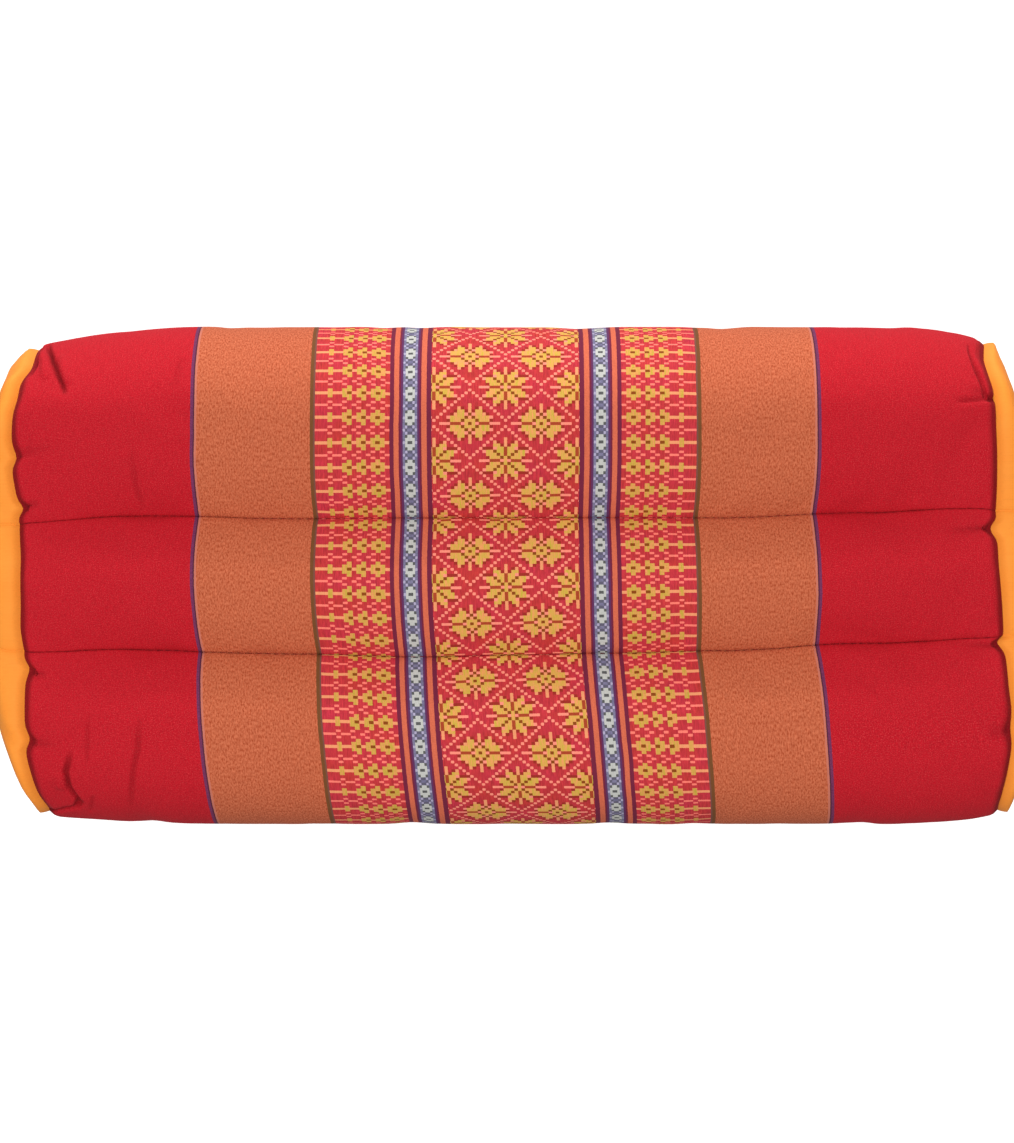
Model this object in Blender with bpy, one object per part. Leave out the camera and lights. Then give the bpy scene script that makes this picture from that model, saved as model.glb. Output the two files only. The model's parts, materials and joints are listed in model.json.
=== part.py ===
"""A long block cushion of woven cloth, filled firm, lying on its broad face.

One wrap of cloth goes round the filling, and its two ends are closed by plain panels.
The wrap is sewn down along two lines on the top, two on the underside and one on each
narrow side, so six crowned channels run the length of the cushion. Metres, +Z up: X is
the length, Y the width of the broad face, and the origin is under the middle on the floor.
"""

import math

import bmesh
import bpy

# Sizes of the stuffed cushion
HALF_LENGTH = 0.1775        # middle to end seam, on the cushion's centre line
HALF_WIDTH = 0.0912         # middle to the widest part of a narrow side
HEIGHT = 0.120              # floor to the crown of a top channel
FLOOR_PRESS = 0.0015        # how far the weight flattens the lower crowns
CROWN = (HEIGHT + FLOOR_PRESS) / 2
MID_HEIGHT = HEIGHT - CROWN

# Sewn lines: their depth under the crowns, and how far the cloth takes to climb back
TOP_DEPTH = 0.0118
SIDE_DEPTH = 0.0122
CLIMB = 0.0262

# The round edge of each long side, by the sign of Y
EDGE_RADIUS = {1: 0.034, -1: 0.0285}

# Where the two sewn lines of the broad faces run: along X, the line at +Y, the line at -Y
SEWN_LINES = (
    (-0.177, 0.0200, -0.0287),
    (-0.140, 0.0216, -0.0272),
    (-0.075, 0.0203, -0.0286),
    (-0.035, 0.0206, -0.0296),
    (0.035, 0.0207, -0.0283),
    (0.077, 0.0206, -0.0274),
    (0.130, 0.0225, -0.0247),
    (0.177, 0.0248, -0.0222),
)

# Each long side draws in towards the ends, by the signs of X and Y: how much, from where, how fast
NARROW = {
    (-1, 1): (0.0066, 0.110, 1.8),
    (-1, -1): (0.0027, 0.110, 1.5),
    (1, 1): (0.0044, 0.143, 2.2),
    (1, -1): (0.0030, 0.130, 2.4),
}
NARROW_HEIGHT = (0.0050, 0.120, 1.8)
FADE_FROM = 0.145           # the sewn channels grow shallow from here to the end seam
FADE_LEFT = 0.40
SMOOTH_BY = 0.15            # an end is smooth once its rings have shrunk by this much

# The long side at -Y has slid along X, as a soft block does when it is handled
SLIDE = 0.0065
SLIDE_FROM = 0.005
SLIDE_POWER = 1.6

# Ends: the seam bows back at the corners, and the cloth rolls over into it
SEAM_BOW_WIDTH = 0.0028
SEAM_BOW_HEIGHT = 0.0010
ROLL = 0.0035
ROLL_INSET = 0.0010
ROLL_ANGLES = (20, 45, 70, 90)
DOME = 0.0176               # the end panel's reach past the seam
PANEL = 0.0020              # thickness of the end panel
GAP = 0.0003                # room between pieces

# Inside the end seam: a ledge behind the panel's rim, and how far in each part starts
LEDGE = 2 * GAP
RIM = GAP
LEDGE_EDGE = ROLL_INSET + 3 * GAP
PANEL_EDGE = LEDGE_EDGE + GAP
FILLING_EDGE = PANEL_EDGE + PANEL + GAP

# Number of steps in the net of points
STEPS_SEAM = 4
STEPS_EDGE = 5
STEPS_MIDDLE = 8
STEPS_LENGTH = 16
STEPS_DOME = 6
CROWD_ENDS = 0.35           # the rings of points stand closer together towards the ends


def sewn_lines(x):
    """The places across the broad face of the two sewn lines, at x along the cushion."""
    inside = max(SEWN_LINES[0][0], min(SEWN_LINES[-1][0], x))
    for (x0, upper0, lower0), (x1, upper1, lower1) in zip(SEWN_LINES, SEWN_LINES[1:]):
        if inside <= x1:
            share = (inside - x0) / (x1 - x0)
            share = share * share * (3 - 2 * share)
            return upper0 + (upper1 - upper0) * share, lower0 + (lower1 - lower0) * share
    return SEWN_LINES[-1][1], SEWN_LINES[-1][2]


def middle_channel(x, depth):
    """Points over the middle channel, from the line at -Y up to the line at +Y."""
    upper, lower = sewn_lines(x)
    middle = (upper + lower) / 2
    half = (upper - lower) / 2
    points = []
    for step in range(STEPS_MIDDLE):
        angle = math.pi * step / STEPS_MIDDLE
        y = middle - half * math.cos(angle)
        points.append((y, CROWN - depth * TOP_DEPTH * (1 - math.sin(angle))))
    return points


def corner_channel(x, side, depth):
    """Points from a sewn line of the broad face, over the long edge, to the narrow side's line."""
    upper, lower = sewn_lines(x)
    line = upper if side > 0 else -lower
    radius = EDGE_RADIUS[side]
    flat_end = HALF_WIDTH - radius
    points = []
    for step in range(STEPS_SEAM):
        angle = math.pi / 2 * step / STEPS_SEAM
        y = line + CLIMB * (1 - math.cos(angle))
        points.append((y, CROWN - depth * TOP_DEPTH * (1 - math.sin(angle))))
    points.append((line + CLIMB, CROWN))
    for step in range(STEPS_EDGE):
        angle = math.pi / 2 * step / STEPS_EDGE
        y = flat_end + radius * math.sin(angle)
        points.append((y, CROWN - radius * (1 - math.cos(angle))))
    for step in range(STEPS_SEAM):
        angle = math.pi / 2 * step / STEPS_SEAM
        y = HALF_WIDTH - depth * SIDE_DEPTH * (1 - math.cos(angle))
        points.append((y, (CROWN - radius) * (1 - math.sin(angle))))
    return [(side * y, z) for y, z in points]


def outline(x, depth):
    """One closed outline round the cushion at x, as (y, height over the middle)."""
    side_line = HALF_WIDTH - depth * SIDE_DEPTH
    top = middle_channel(x, depth)
    top += corner_channel(x, 1, depth)
    under = [(y, -z) for y, z in corner_channel(x, 1, depth)[:0:-1]]
    under += [(y, -z) for y, z in [(sewn_lines(x)[0], CROWN - depth * TOP_DEPTH)]]
    under += [(y, -z) for y, z in middle_channel(x, depth)[:0:-1]]
    under += [(y, -z) for y, z in corner_channel(x, -1, depth)]
    rise = corner_channel(x, -1, depth)[:0:-1]
    return top + [(side_line, 0.0)] + under + [(-side_line, 0.0)] + rise


def drawn_in(x, amount, start, power):
    """How far the body has drawn in at x, from nothing at start to the amount at the seam."""
    share = max(0.0, (abs(x) - start) / (HALF_LENGTH - start))
    return amount * share ** power


def narrowed(x, y, z, inset):
    """A point of the outline, drawn in for the narrowing near the ends and for an inset."""
    corner = (1 if x > 0 else -1, 1 if y > 0 else -1)
    width = 1 - (drawn_in(x, *NARROW[corner]) + inset) / HALF_WIDTH
    height = 1 - (drawn_in(x, *NARROW_HEIGHT) + inset) / CROWN
    return y * width, z * height


def slide(y):
    """How far a point at y has slid along X."""
    span = HALF_WIDTH + SLIDE_FROM
    return SLIDE * (max(0.0, SLIDE_FROM - y) / span) ** SLIDE_POWER


def seam_bow(y, z):
    """How far the end seam lies back from its middle at (y, z)."""
    across = SEAM_BOW_WIDTH * (abs(y) / HALF_WIDTH) ** 4
    return across + SEAM_BOW_HEIGHT * (abs(z) / CROWN) ** 4


def ring(x, inset=0.0, shrink=1.0, past_seam=None, end=1):
    """One ring of points round the cushion, on the wrap or on an end.

    With past_seam the ring belongs to an end: it lies that far past the bowed seam, and
    shrink draws it to the middle of the end.
    """
    fade = max(0.0, (abs(x) - FADE_FROM) / (HALF_LENGTH - FADE_FROM))
    depth = 1 - (1 - FADE_LEFT) * min(1.0, fade)
    depth *= max(0.0, 1 - (1 - shrink) / SMOOTH_BY)
    points = []
    for y, z in outline(x, depth):
        y, z = narrowed(x, y, z, inset)
        y *= shrink
        z *= shrink
        if past_seam is None:
            along = x - x / HALF_LENGTH * abs(x / HALF_LENGTH) ** 3 * seam_bow(y, z)
        else:
            along = end * (HALF_LENGTH - seam_bow(y, z) + past_seam)
        points.append((along + slide(y), y, max(0.0, MID_HEIGHT + z)))
    return points


def dome_rings(end, inset, start, reach):
    """Rings from an end's edge to its middle, over a dome of the given reach."""
    rings = []
    for step in range(STEPS_DOME + 1):
        angle = math.pi / 2 * step / STEPS_DOME
        past_seam = start + (reach - start) * math.sin(angle)
        shrink = math.cos(angle) if step < STEPS_DOME else 0.0
        rings.append(ring(end * HALF_LENGTH, inset, shrink, past_seam, end))
    return rings


def end_rings(end):
    """Rings of the wrap's roll into the end seam, the ledge in it and the filling's dome."""
    roll = []
    for degrees in ROLL_ANGLES:
        angle = math.radians(degrees)
        inset = ROLL_INSET * (1 - math.cos(angle))
        past_seam = -ROLL * (1 - math.sin(angle))
        roll.append(ring(end * HALF_LENGTH, inset, 1.0, past_seam, end))
    roll.append(ring(end * HALF_LENGTH, LEDGE_EDGE, 1.0, -LEDGE, end))
    return roll + dome_rings(end, FILLING_EDGE, -LEDGE, DOME - PANEL - GAP)


def skin(name, rings, colour, roughness):
    """A closed solid through rings of points, from a grid of as many rows and columns."""
    columns = len(rings[0])
    mesh = bpy.data.meshes.new(name)
    work = bmesh.new()
    bmesh.ops.create_grid(work, x_segments=len(rings) - 1, y_segments=columns, size=1.0)
    for vert in work.verts:
        row = round((vert.co.x + 1) / 2 * (len(rings) - 1))
        column = round((vert.co.y + 1) / 2 * columns) % columns
        vert.co = rings[row][column]
    bmesh.ops.remove_doubles(work, verts=work.verts, dist=0.000001)
    bmesh.ops.recalc_face_normals(work, faces=work.faces)
    work.to_mesh(mesh)
    work.free()
    mesh.shade_smooth()
    piece = bpy.data.objects.new(name, mesh)
    material = bpy.data.materials.new(name + "_cloth")
    material.use_nodes = True
    shader = material.node_tree.nodes["Principled BSDF"]
    shader.inputs["Base Color"].default_value = colour
    shader.inputs["Roughness"].default_value = roughness
    shader.inputs["Metallic"].default_value = 0.0
    mesh.materials.append(material)
    parts.objects.link(piece)
    return piece


def cushion_body():
    """The filled block in its wrap, with crowned channels, drawn-in sides and domed ends."""
    straight = []
    reach = HALF_LENGTH - ROLL
    for step in range(STEPS_LENGTH + 1):
        share = 2 * step / STEPS_LENGTH - 1
        share += CROWD_ENDS * (share - share ** 3)
        straight.append(ring(reach * share))
    rings = end_rings(-1)[::-1] + straight + end_rings(1)
    return skin("cushion_body", rings, (0.52, 0.016, 0.024, 1.0), 0.85)


def end_panel(name, end):
    """A domed sheet of plain cloth over one end, closed from its outside to its inside."""
    outside = dome_rings(end, PANEL_EDGE, -RIM, DOME)
    inside = dome_rings(end, PANEL_EDGE + PANEL, -RIM, DOME - PANEL)
    return skin(name, outside[::-1] + inside, (0.95, 0.29, 0.045, 1.0), 0.7)


for old in list(bpy.data.objects):
    bpy.data.objects.remove(old, do_unlink=True)
parts = bpy.data.collections.new("block_cushion")
bpy.context.scene.collection.children.link(parts)
cushion_body()
end_panel("end_panel_left", -1)
end_panel("end_panel_right", 1)
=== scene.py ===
# %% [markdown]
# # A block cushion of woven cloth
#
# This lesson gives a filled block cushion its looks. Its solids already exist at their real
# size, and they are loaded here as a fixed frame. Each step below makes one piece or one
# finish on top of that frame: the wrap of patterned cloth, the plain end panels, the sewing
# thread, the dyes and the weave.
#
# All lengths are metres, X runs along the cushion, Y across its broad face and Z up. Places
# on the cloth itself are in centimetres, because that is how a weaver would give them.

# %% Load the frame
import json
import math

import bmesh
import bpy
import numpy as np
from mathutils import Matrix, Vector
from mathutils.bvhtree import BVHTree

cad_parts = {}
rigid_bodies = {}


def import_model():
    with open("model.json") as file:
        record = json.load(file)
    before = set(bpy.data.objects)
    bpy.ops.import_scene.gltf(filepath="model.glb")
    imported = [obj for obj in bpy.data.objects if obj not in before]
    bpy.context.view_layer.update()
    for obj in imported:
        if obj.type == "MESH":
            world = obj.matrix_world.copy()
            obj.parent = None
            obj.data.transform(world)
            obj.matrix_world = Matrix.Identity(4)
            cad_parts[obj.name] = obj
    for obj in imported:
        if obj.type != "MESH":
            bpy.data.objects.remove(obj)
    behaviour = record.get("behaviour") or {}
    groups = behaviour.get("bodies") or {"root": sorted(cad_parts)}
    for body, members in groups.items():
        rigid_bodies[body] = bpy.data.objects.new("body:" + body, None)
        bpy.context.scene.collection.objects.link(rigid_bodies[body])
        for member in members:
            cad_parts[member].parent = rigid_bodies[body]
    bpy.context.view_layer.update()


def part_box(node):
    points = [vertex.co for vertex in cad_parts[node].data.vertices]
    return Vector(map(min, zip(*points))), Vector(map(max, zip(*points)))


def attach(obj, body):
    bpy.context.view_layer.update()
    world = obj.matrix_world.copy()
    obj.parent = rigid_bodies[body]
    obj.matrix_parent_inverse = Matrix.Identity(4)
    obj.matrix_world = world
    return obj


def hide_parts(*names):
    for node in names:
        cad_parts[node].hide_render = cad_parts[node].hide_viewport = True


for leftover in list(bpy.data.objects):
    bpy.data.objects.remove(leftover)
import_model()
body_low, body_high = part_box("cushion_body")


def in_mm(lengths):
    """Lengths as millimetres, for printing."""
    return [round(1000 * float(length), 1) for length in lengths]


# %% [markdown]
# ## The camera
#
# The cushion lies on its back and is seen from straight above. A long lens from a little
# over a metre keeps the face flat, as a catalogue picture does. The picture's long side is
# matched to the sensor's width, so one number, the focal length in pixels, sets the lens.

# %% Camera
PICTURE_HEIGHT = 1143
FOCAL_PIXELS = 3348
CAMERA_PLACE = Vector((0.0002, 0.00125, 1.32))
SENSOR = 36.0


def added(name, data):
    """A new object for some data, put into the scene."""
    thing = bpy.data.objects.new(name, data)
    bpy.context.scene.collection.objects.link(thing)
    return thing


camera_data = bpy.data.cameras.new("camera")
camera_data.sensor_width = SENSOR
camera_data.lens = SENSOR * FOCAL_PIXELS / PICTURE_HEIGHT
camera = added("camera", camera_data)
camera.location = CAMERA_PLACE
bpy.context.scene.camera = camera
print("camera: lens", round(camera_data.lens, 1), "mm at", round(CAMERA_PLACE.z, 3), "m")

# %% [markdown]
# ## The section of the cushion
#
# The wrap is sewn down along two lines on the top, two underneath and one on each narrow
# side. Between two lines the filling pushes the cloth out into a crowned channel. The cloth
# climbs out of a sewn line at an easy slope and rounds off into the crown, as a parabola does,
# but near the line the thread pinches it, as a quarter of an ellipse does, and at the very
# line it cuts a narrow groove. The climb is a mix of the three, and the long edges are arcs.
#
# A box with Subdivision Surface would be quicker, but it rounds every channel alike. In a
# formula each width and depth is one number that can be measured on a cushion.

# %% Sizes of the section
HALF_WIDTH = (body_high.y - body_low.y) / 2
FLOOR_PRESS = 0.0015          # how far the weight flattens the lower crowns
CROWN = (body_high.z + FLOOR_PRESS) / 2
MID_HEIGHT = body_high.z - CROWN
TOP_DEPTH = 0.0110            # sewn lines lie this far under the crowns
SIDE_DEPTH = 0.0122           # and those of the narrow sides this far in
PINCH = 0.14                  # the ellipse's share in the climb
GROOVE = 0.09                 # share of the narrow groove that the thread cuts at the line itself
GROOVE_ANGLE = 0.12           # and how soon the groove ends
CLIMB = 0.0262                # how far the cloth takes to climb back to the crown
EDGE_RADIUS = {1: 0.034, -1: 0.0285}   # of the long edges, by the sign of Y
STEPS = {"line": 11, "flat": 3, "edge": 14, "middle": 22}   # points on each stretch of a channel

# Along X, the sewn line at +Y and the sewn line at -Y
SEWN_LINES = (
    (-0.177, 0.0200, -0.0287),
    (-0.140, 0.0216, -0.0272),
    (-0.075, 0.0203, -0.0286),
    (-0.035, 0.0206, -0.0296),
    (0.035, 0.0207, -0.0283),
    (0.077, 0.0206, -0.0274),
    (0.130, 0.0225, -0.0247),
    (0.177, 0.0248, -0.0232),
)
print("section in mm, across and up:", in_mm((2 * HALF_WIDTH, 2 * CROWN)))


# %% One outline round the cushion
def sewn_lines(x):
    """The places across the broad face of the two sewn lines, at x along the cushion."""
    inside = max(SEWN_LINES[0][0], min(SEWN_LINES[-1][0], x))
    for (x0, upper0, lower0), (x1, upper1, lower1) in zip(SEWN_LINES, SEWN_LINES[1:]):
        if inside <= x1:
            share = (inside - x0) / (x1 - x0)
            share = share * share * (3 - 2 * share)
            return upper0 + (upper1 - upper0) * share, lower0 + (lower1 - lower0) * share


def lowness(angle):
    """How far under the crown the cloth is, from 1 on a sewn line at angle 0 to 0 on the crown."""
    groove = GROOVE * math.exp(-angle / GROOVE_ANGLE)
    return (1 - PINCH - GROOVE) * math.cos(angle) ** 2 + PINCH * (1 - math.sin(angle)) + groove


def middle_channel(x, depth):
    """Over the middle channel: (y, z, how near the sewn line) from the line at -Y to the one at +Y."""
    upper, lower = sewn_lines(x)
    half = (upper - lower) / 2
    points = []
    for step in range(STEPS["middle"]):
        angle = math.pi * step / STEPS["middle"]
        low = lowness(min(angle, math.pi - angle))
        y = (upper + lower) / 2 - half * math.cos(angle)
        points.append((y, CROWN - depth * TOP_DEPTH * low, low))
    return points


def corner_channel(x, side, depth):
    """From a sewn line of the broad face, over the long edge, to the narrow side's line."""
    line = sewn_lines(x)[0] if side > 0 else -sewn_lines(x)[1]
    radius = EDGE_RADIUS[side]
    points = []
    for step in range(STEPS["line"]):
        angle = math.pi / 2 * step / STEPS["line"]
        low = lowness(angle)
        points.append((line + CLIMB * (1 - math.cos(angle)), CROWN - depth * TOP_DEPTH * low, low))
    for step in range(STEPS["flat"]):
        share = step / STEPS["flat"]
        points.append(((line + CLIMB) * (1 - share) + (HALF_WIDTH - radius) * share, CROWN, 0.0))
    for step in range(STEPS["edge"]):
        angle = math.pi / 2 * step / STEPS["edge"]
        y = HALF_WIDTH - radius + radius * math.sin(angle)
        points.append((y, CROWN - radius * (1 - math.cos(angle)), 0.0))
    for step in range(STEPS["line"]):
        angle = math.pi / 2 * step / STEPS["line"]
        low = lowness(math.pi / 2 - angle)
        z = (CROWN - radius) * (1 - math.sin(angle))
        points.append((HALF_WIDTH - depth * SIDE_DEPTH * low, z, low))
    return [(side * y, z, low) for y, z, low in points]


def outline(x, depth):
    """One closed outline at x as (y, height over the middle, how near a sewn line).

    It starts on the sewn line of the narrow side at -Y, where the cloth's own edges meet,
    and goes over the top.
    """
    side_line = HALF_WIDTH - depth * SIDE_DEPTH
    over = corner_channel(x, -1, depth)[:0:-1] + middle_channel(x, depth) + corner_channel(x, 1, depth)
    lines = [(sewn_lines(x)[0], CROWN - depth * TOP_DEPTH, 1.0), (side_line, 0.0, 1.0)]
    under = corner_channel(x, 1, depth)[:0:-1] + lines[:1] + middle_channel(x, depth)[:0:-1]
    under += corner_channel(x, -1, depth)
    return [(-side_line, 0.0, 1.0)] + over + lines[1:] + [(y, -z, low) for y, z, low in under]


print("outline:", len(outline(0.0, 1.0)), "points, crown", round(CROWN, 4), "m over its middle")

# %% [markdown]
# ## The wrap as a net of points
#
# A woven cloth has two directions, so the wrap starts as a flat grid: one direction runs
# along the cushion and the other goes once round it. Every point of the grid knows its
# place on the flat cloth, in centimetres, and that becomes the piece's UV map. The dyes and
# the weave follow this map later, wherever the cloth bends.
#
# Thread under tension shortens a sewn line, so the cloth is drawn in along it, and a little
# cloth disappears into the line. The end seams are tacked here and there, and the cloth puffs
# out between the tacks. Past a seam the net goes on: it rolls in, dips into a crevice and
# then follows the dome of the end, under the end panel.

# %% Places on the flat cloth
CM = 0.01
TAKEN_IN = {1: 0.0009, -1: 0.0002}   # cloth that is hidden in a sewn line, by the sign of Y
ON_LINE = 0.999               # nearness from which a point counts as on a sewn line

section = np.array(outline(0.0, 1.0))
section_next = np.roll(section, -1, axis=0)
section_steps = np.hypot(*(section_next - section)[:, :2].T)
beside_line = np.maximum(section, section_next)[:, 2] > ON_LINE
hidden = np.where(section[:, 0] > 0, TAKEN_IN[1], TAKEN_IN[-1])
weave_steps = section_steps + hidden / 2 * beside_line
around = np.concatenate([[0.0], np.cumsum(weave_steps)]) / CM
over_the_top = section[:len(section) // 2, 0]
top_columns = range(int(over_the_top.argmin()), int(over_the_top.argmax()) + 1)
print("section:", len(section), "points,", round(around[-1], 1), "cm of cloth round the cushion")

# %% How the cushion narrows, slides and bows
HALF_LENGTH = 0.1775          # middle to end seam
# The long sides draw in towards the ends, by the signs of X and Y: how much, from where, how fast
NARROW = {
    (-1, 1): (0.0066, 0.110, 1.8),
    (-1, -1): (0.0027, 0.110, 1.5),
    (1, 1): (0.0044, 0.143, 2.2),
    (1, -1): (0.0030, 0.130, 2.4),
}
NARROW_HEIGHT = (0.0050, 0.120, 1.8)
INSET_ACROSS = 0.4            # an inset counts this much across the narrow sides
SLIDE = 0.0065                # the long side at -Y has slid along X
SLIDE_FROM = 0.005
SLIDE_POWER = 1.6
SEAM_BOW_WIDTH = 0.0028       # the corners of an end seam lie back from its middle
SEAM_BOW_HEIGHT = 0.0010
SEAM_BOW_POWER = 4            # a higher one bows later and steeper


def drawn_in(x, amount, start, power):
    """How far the body has drawn in at x, from nothing at start to the amount at the seam."""
    share = max(0.0, (abs(x) - start) / (HALF_LENGTH - start))
    return amount * share ** power


def narrowed(x, y, z, inset):
    """A point of the outline, drawn in for the narrowing near the ends and for an inset."""
    corner = (1 if x > 0 else -1, 1 if y > 0 else -1)
    width = 1 - (drawn_in(x, *NARROW[corner]) + INSET_ACROSS * inset) / HALF_WIDTH
    height = 1 - (drawn_in(x, *NARROW_HEIGHT) + inset) / CROWN
    return y * width, z * height


def slide(y):
    """How far a point at y has slid along X."""
    return SLIDE * (max(0.0, SLIDE_FROM - y) / (HALF_WIDTH + SLIDE_FROM)) ** SLIDE_POWER


def seam_bow(y, z):
    """How far the end seam lies back from its middle at (y, z)."""
    across = (abs(y) / HALF_WIDTH) ** SEAM_BOW_POWER
    up = (abs(z) / CROWN) ** SEAM_BOW_POWER
    return SEAM_BOW_WIDTH * across + SEAM_BOW_HEIGHT * up


print("slid at the lower long side:", in_mm([slide(-HALF_WIDTH)]), "mm")

# %% The end seams wander and are tacked
# On the broad face, by the end: the place across it in cm, and how far out the seam lies in mm
SEAM_WANDER = {
    -1: ((8.6, -3.2), (7.6, -3.4), (7.1, 0.2), (6.5, 0.3), (5.9, 2.0), (4.7, 2.1), (3.9, 2.0), (3.1, 0.6),
         (1.7, -0.2), (0.6, -1.4), (-1.1, -1.1), (-2.0, -0.2), (-3.9, -1.0), (-5.4, 0.3), (-6.4, 1.4),
         (-8.0, 0.0), (-8.6, -2.0)),
    1: ((8.6, 0.4), (7.9, -2.1), (7.2, -0.9), (6.4, 1.1), (5.7, 0.2), (2.5, 0.8), (0.6, 0.7), (-1.1, 2.0),
        (-2.0, 2.6), (-4.3, 2.7), (-5.3, 3.5), (-6.2, 2.7), (-7.1, 1.1), (-7.9, -0.5), (-8.5, -1.4)),
}
# The place of each tack in cm, how far it pulls in mm, how far to its sides in cm
TACKS_SEEN = {
    -1: ((4.34, 3.1, 0.6), (2.44, 2.8, 0.6), (-3.48, 2.8, 0.6), (-6.02, 2.8, 0.6)),
    1: ((6.4, 1.3, 0.6), (1.69, 4.2, 0.6), (-2.51, 3.4, 0.6), (-5.6, 1.2, 0.6)),
}
# Tacks that nobody sees are drawn by lot
TACK_PULL = (0.0012, 0.0030)
TACK_APART = (2.6, 5.0)       # cm from one to the next
TACK_CLEAR = 1.5              # cm that they keep from the top's long edges
TACK_WIDTH = 0.9              # cm to each side
TACK_REACH = 0.0045           # how far into the cloth a tack pulls
WANDER_REACH = 0.015          # and how far in the cloth follows the seam's wandering
WANDER_FADE = 2.5             # cm round the narrow sides until the seam is straight
CHANNEL_LEFT = 0.40           # share of a sewn line's depth that is left at an end seam


def around_at(end, y):
    """How many cm round the cloth a place on the broad face lies, y cm across it at an end seam."""
    x = end * HALF_LENGTH
    across = np.array([narrowed(x, point[0], point[1], 0.0)[0] for point in outline(x, CHANNEL_LEFT)])
    return float(np.interp(y * CM, across[top_columns], around[top_columns]))


tack_draws = np.random.default_rng(11)
tacks = {}
wander = {}
for end, seen in TACKS_SEEN.items():
    tacks[end] = [(around_at(end, y), pull / 1000, width) for y, pull, width in seen]
    place = around[top_columns[-1]] + TACK_CLEAR
    while place < around[-1] + around[top_columns[0]] - TACK_CLEAR:
        tacks[end].append((place % around[-1], tack_draws.uniform(*TACK_PULL), TACK_WIDTH))
        place += tack_draws.uniform(*TACK_APART)
    seam = [(around_at(end, y), out / 1000) for y, out in SEAM_WANDER[end][::-1]]
    seam = [(seam[0][0] - WANDER_FADE, 0.0), *seam, (seam[-1][0] + WANDER_FADE, 0.0)]
    wander[end] = np.array(seam).T
print("tacks:", {end: len(found) for end, found in tacks.items()})


def tack_pull(end, place):
    """How far the tacks pull the end seam in at a place round the cloth."""
    pull = 0.0
    for tack_place, depth, width in tacks[end]:
        away = abs(place - tack_place)
        away = min(away, around[-1] - away)
        pull += depth * max(0.0, 1 - away / width) ** 2
    return pull


def seam_move(end, place, from_seam):
    """How far out the seam's wandering and its tacks move the cloth, at a distance from the seam."""
    out = np.interp(place, *wander[end])
    away = max(0.0, from_seam)
    return out * math.exp(-away / WANDER_REACH) - tack_pull(end, place) * math.exp(-away / TACK_REACH)


# %% Rings of points along the wrap
GATHER = 0.011                # a sewn line is drawn in along X by this share
CHANNEL_FADE = 0.145          # from here to the end seam the sewn lines get less deep
BOW_POWER = 3                 # the seam's bow fades this fast towards the middle
# On an end, once a ring has shrunk by this share, the channels or the pull of the tacks are gone
DEPTH_GONE = 0.15
PULL_GONE = 0.06


def ring(x, inset=0.0, shrink=1.0, past_seam=None):
    """One ring of points round the cushion, on the wrap or, with past_seam, on its end."""
    end = 1 if x > 0 else -1
    fade = max(0.0, (abs(x) - CHANNEL_FADE) / (HALF_LENGTH - CHANNEL_FADE))
    depth = (1 - (1 - CHANNEL_LEFT) * min(1.0, fade)) * max(0.0, 1 - (1 - shrink) / DEPTH_GONE)
    points = []
    for place, (y, z, low) in zip(around, outline(x, depth)):
        y, z = narrowed(x, y, z, inset)
        y *= shrink
        z *= shrink
        if past_seam is None:
            along = x - x / HALF_LENGTH * abs(x / HALF_LENGTH) ** BOW_POWER * seam_bow(y, z)
            from_seam = HALF_LENGTH - abs(x)
        else:
            along = end * (HALF_LENGTH - seam_bow(y, z) + past_seam)
            from_seam = 0.0
        along -= GATHER * depth * low * x
        along += end * max(0.0, 1 - (1 - shrink) / PULL_GONE) * seam_move(end, place, from_seam)
        points.append((along + slide(y), y, max(0.0, MID_HEIGHT + z)))
    return points


print("end seam in mm, across and up:", in_mm(np.ptp(ring(HALF_LENGTH), axis=0)[1:]))

# %% The dome of an end
DOME = 0.0176                 # how far an end bulges past its seam
# Under 1 the dome is square at its shoulder, over 1 pointed: at the broad faces, and by the sign of Y
SQUARE = {0: 0.8, 1: 1.6, -1: 1.8}
CORNER_POWER = 4              # a higher one passes from one to the other closer to the corners


def dome_ring(end, inset, start, reach, angle):
    """One ring of the dome over an end, from its edge at angle 0 to its middle at a right angle."""
    rings = {}
    for side, power in SQUARE.items():
        shrink = math.cos(angle) ** power if angle < math.pi / 2 else 0.0
        past_seam = start + (reach - start) * math.sin(angle) ** power
        rings[side] = ring(end * HALF_LENGTH, inset, shrink, past_seam)
    points = []
    for column, edge in enumerate(ring(end * HALF_LENGTH, inset, 1.0, start)):
        across = (edge[1] / HALF_WIDTH) ** CORNER_POWER
        up = ((edge[2] - MID_HEIGHT) / CROWN) ** CORNER_POWER
        share = across / (across + up)
        beside = rings[1 if edge[1] > 0 else -1][column]
        points.append(tuple(a * share + b * (1 - share) for a, b in zip(beside, rings[0][column])))
    return points


print("tip of the right end:", in_mm(dome_ring(1, 0.0, 0.0, DOME, math.pi / 2)[0]), "mm")

# %% Rings of the wrap in order
RINGS = 108
CROWD_ENDS = 0.30             # rings stand closer together towards the ends
ROLL = 0.0032                 # the cloth turns down into the end seam over this length
ROLL_DROP = 0.0040            # and goes this deep
ROLL_STEPS = 8
ROLL_POWER = 2.0              # a higher one turns down later and steeper
DOME_STEPS = 5
OPEN_AT = 0.17                # the middle of each end stays open at this share of its size
CREVICE_INSET = 0.0048        # behind the roll the cloth dips into a crevice
CREVICE_DEPTH = 0.0016
CREVICE_PLACE = 0.6           # cm along the cloth from the seam
PANEL_ROOM = 0.0020           # the dome stays this far under the end panel


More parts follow.
